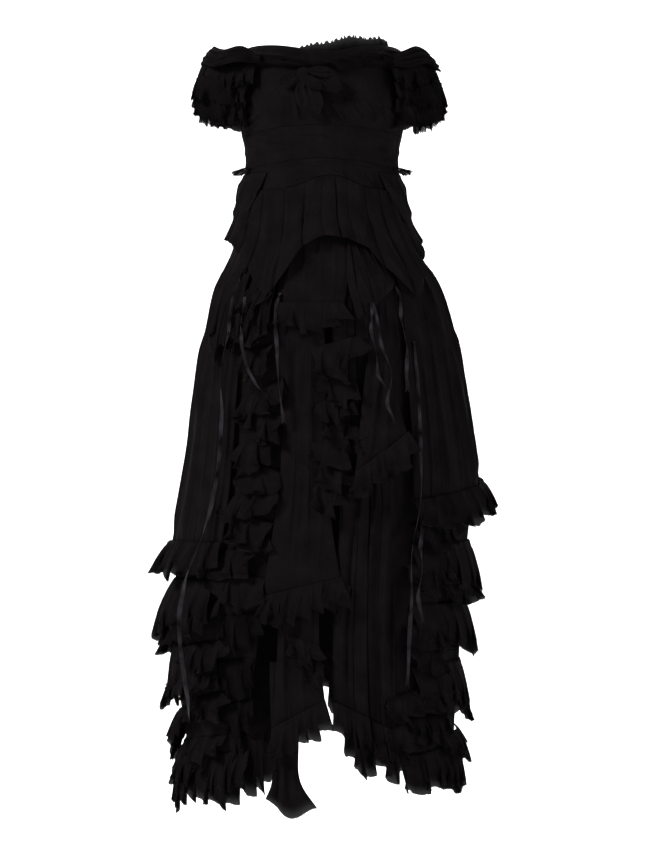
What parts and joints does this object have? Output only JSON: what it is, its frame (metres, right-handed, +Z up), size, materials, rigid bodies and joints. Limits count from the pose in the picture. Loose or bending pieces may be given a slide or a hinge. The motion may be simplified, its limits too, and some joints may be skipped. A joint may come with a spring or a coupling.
{
  "type": "strapless gown",
  "caption": "Strapless silk gown with off-shoulder ruffles, draped neckline and bow, fan-pleated peplum and a skirt of hanging panels with gathered flounces.",
  "frame": {"origin": "the middle of the waist, on the wearer's centre line, where the wearer holds the gown up", "axes": "+Z up along the gown's length, the front faces -Y, +X to the right as seen from the front"},
  "size_m": [0.5829, 0.509, 1.2764],
  "materials": {
    "silk": "matte crinkled silk, near black",
    "satin": "black satin ribbon with a soft shine",
    "zip_metal": "black lacquered zip slider and pull"
  },
  "bodies": {
    "gown": {"bodice_front": "silk", "bodice_back_left": "silk", "bodice_back_right": "silk", "midriff_front": "silk", "hip_yoke": "silk", "yoke_front": "silk", "peplum": "silk", "hip_flap_left": "silk", "hip_flap_right": "silk", "side_frill_left": "silk", "side_frill_right": "silk", "neck_drape": "silk", "neck_frill": "silk", "bow_knot": "silk", "bow_leaf_upper": "silk", "bow_leaf_lower": "silk", "arm_ruffle_left": "silk", "arm_ruffle_right": "silk", "under_left": "silk", "under_right": "silk", "back_left": "silk", "back_right": "silk", "panel_centre": "silk", "apron": "silk", "apron_edge": "silk", "hip_scarf": "silk", "hip_ruffle_outer": "silk", "hip_ruffle_inner": "silk", "panel_left": "silk", "hem_left": "silk", "panel_right": "silk", "hem_right": "silk", "panel_front_right": "silk", "hem_front_right": "silk", "hem_centre": "silk", "cascade_left": "silk", "cascade_centre": "silk", "cascade_low": "silk", "panel_lower_right": "silk", "hem_lower_right": "silk", "panel_lower_centre": "silk", "hem_lower_centre": "silk", "panel_lowest": "silk", "tier_left_upper": "silk", "tier_left_middle": "silk", "hem_left_low": "silk", "tier_right_upper": "silk", "tier_right_middle": "silk", "tier_right_lower": "silk", "hem_right_low": "silk", "tier_back_left": "silk", "tier_back_right": "silk", "hem_back_left": "silk", "hem_back_right": "silk", "ribbon_left_long": "satin", "ribbon_centre": "satin", "ribbon_right_short": "satin", "zip_slider": "zip_metal"},
    "zip_pull_tab": {"zip_pull": "zip_metal"}
  },
  "joints": [
    {"name": "zip_pull_tilt", "type": "hinge", "parent": "gown", "child": "zip_pull_tab", "pos_m": [0, 0.09925, 0.128], "axis": [1, 0, 0], "range_deg": [0, 120]}
  ]
}
